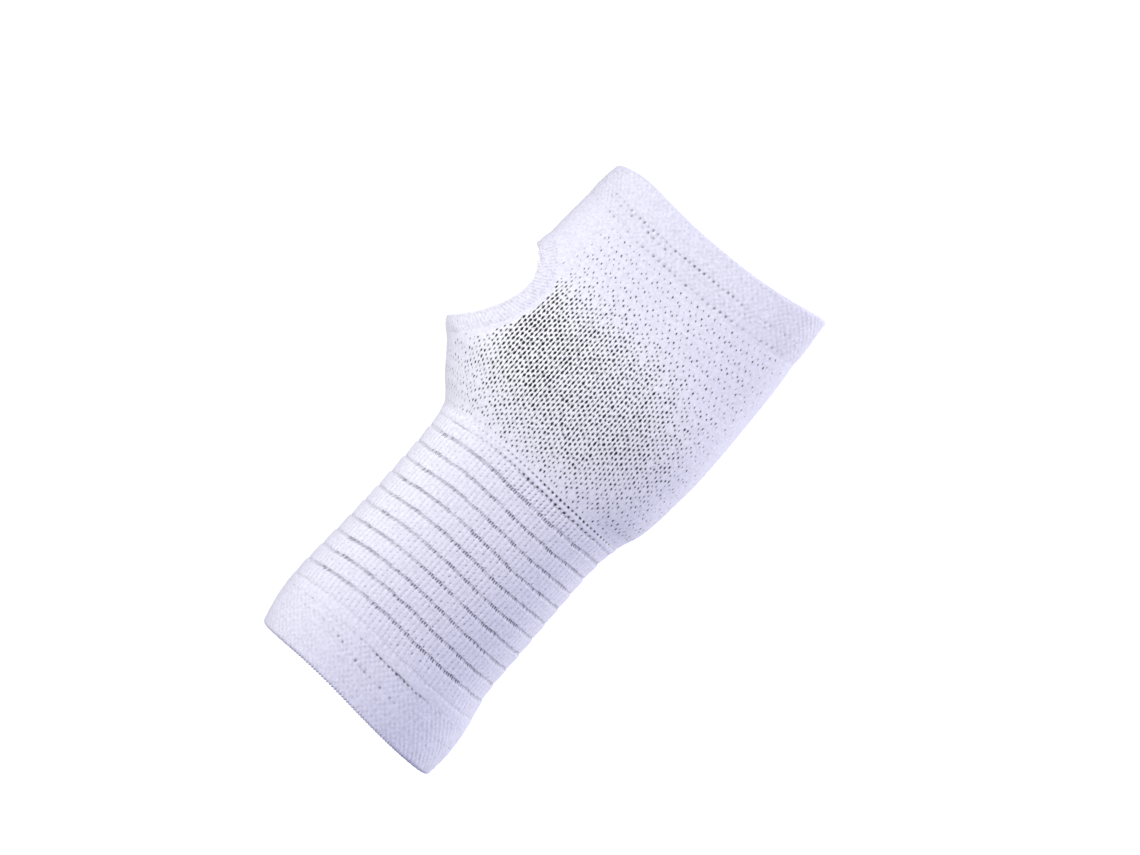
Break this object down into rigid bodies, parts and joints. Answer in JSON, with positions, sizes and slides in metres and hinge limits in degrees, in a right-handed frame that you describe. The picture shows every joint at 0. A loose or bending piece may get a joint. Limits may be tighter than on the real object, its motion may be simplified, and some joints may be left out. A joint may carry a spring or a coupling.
{
  "type": "wrist support",
  "caption": "Elastic knitted sleeve that braces wrist and palm: ribbed wrist, open-work palm, hemmed thumb hole and folded welts at both open ends.",
  "frame": {"origin": "middle of the ribbed wrist, on the tube's axis, where a wrist holds the support", "axes": "+Z along the arm to the fingers, -Y out of the palm, -X to the thumb"},
  "size_m": [0.093, 0.0541, 0.1862],
  "materials": {
    "welt_knit": "white fine elastic knit, matt, doubled",
    "palm_knit": "white open-work elastic knit, matt, stretched",
    "rib_knit": "white thick elastic rib knit, matt",
    "hem_thread": "white overcast thread, matt with a faint sheen"
  },
  "bodies": {
    "root": {"finger_welt": "welt_knit", "palm_sleeve": "palm_knit", "thumb_hem": "hem_thread", "joining_band": "welt_knit", "wrist_sleeve": "rib_knit", "forearm_welt": "welt_knit"}
  },
  "joints": []
}
